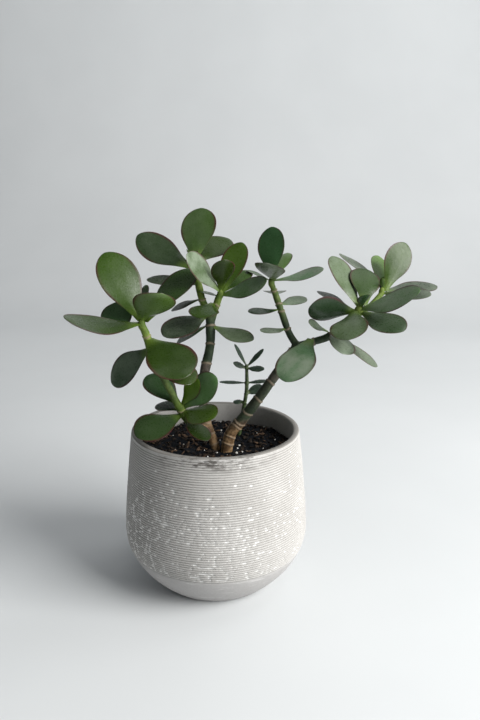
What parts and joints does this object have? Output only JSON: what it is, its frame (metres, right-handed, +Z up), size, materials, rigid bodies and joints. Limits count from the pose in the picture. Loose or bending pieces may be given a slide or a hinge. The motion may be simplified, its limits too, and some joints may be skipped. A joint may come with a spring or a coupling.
{
  "type": "potted jade plant",
  "caption": "Jade plant with fleshy oval leaves on forked woody stems, growing from soil in a round ribbed grey cement planter.",
  "frame": {"origin": "centre of the planter's flat base, on the surface that it stands on", "axes": "+Z up, -Y towards the plant's front, +X to the plant's right as seen from the front"},
  "size_m": [0.2627, 0.142, 0.2863],
  "materials": {
    "pot_cement": "raw ribbed cement, matt, with small chips",
    "soil": "loose dark potting mix with bark and white grit",
    "stem_bark": "ringed bark, brown at the foot and green above",
    "sprout_green": "soft green young stem and leaves",
    "leaf_green": "smooth waxy leaf, semi-gloss, with a thin reddish margin"
  },
  "bodies": {
    "root": {"pot": "pot_cement", "left_stem": "stem_bark", "right_stem": "stem_bark", "back_sprout": "sprout_green", "leaf_low_top_back_left": "leaf_green", "leaf_low_top_behind_left": "leaf_green", "leaf_low_top_far_left": "leaf_green", "leaf_low_top_front_right": "leaf_green", "leaf_low_top_young": "leaf_green", "leaf_low_top_far_right": "leaf_green", "leaf_low_top_front_face": "leaf_green", "leaf_low_top_hanging_left": "leaf_green", "leaf_low_top_hanging_right": "leaf_green", "leaf_low_whorl_front_left": "leaf_green", "leaf_low_whorl_back_left": "leaf_green", "leaf_low_whorl_upright": "leaf_green", "leaf_low_whorl_front_right": "leaf_green", "leaf_low_whorl_hanging_front": "leaf_green", "leaf_low_whorl_back_right": "leaf_green", "leaf_low_whorl_small_left": "leaf_green", "leaf_left_stem_right": "leaf_green", "leaf_left_stem_front": "leaf_green", "leaf_left_stem_back": "leaf_green", "leaf_left_front_up_left": "leaf_green", "leaf_left_front_back_up": "leaf_green", "leaf_left_front_young_up": "leaf_green", "leaf_left_front_right": "leaf_green", "leaf_left_front_back_right": "leaf_green", "leaf_left_front_facing": "leaf_green", "leaf_left_back_top": "leaf_green", "leaf_left_back_left": "leaf_green", "leaf_left_back_right": "leaf_green", "leaf_left_back_low_left": "leaf_green", "leaf_left_back_small_left": "leaf_green", "leaf_upright_top": "leaf_green", "leaf_upright_facing": "leaf_green", "leaf_upright_right": "leaf_green", "leaf_upright_back_right": "leaf_green", "leaf_upright_back": "leaf_green", "leaf_upright_mid_right": "leaf_green", "leaf_upright_mid_left": "leaf_green", "leaf_upright_low_left": "leaf_green", "leaf_fork_front": "leaf_green", "leaf_arm_up_left": "leaf_green", "leaf_arm_round": "leaf_green", "leaf_arm_bud": "leaf_green", "leaf_arm_front_right": "leaf_green", "leaf_arm_low_right": "leaf_green", "leaf_arm_front_left": "leaf_green", "leaf_arm_left": "leaf_green", "leaf_arm_back_left": "leaf_green", "leaf_arm_hanging_front": "leaf_green", "leaf_arm_hanging_right": "leaf_green", "leaf_arm_small_left": "leaf_green", "leaf_arm_end_back_left": "leaf_green", "leaf_arm_end_top": "leaf_green", "leaf_arm_end_back_up": "leaf_green", "leaf_arm_end_far_right": "leaf_green", "leaf_arm_end_front_right": "leaf_green", "potting_soil": "soil"}
  },
  "joints": []
}
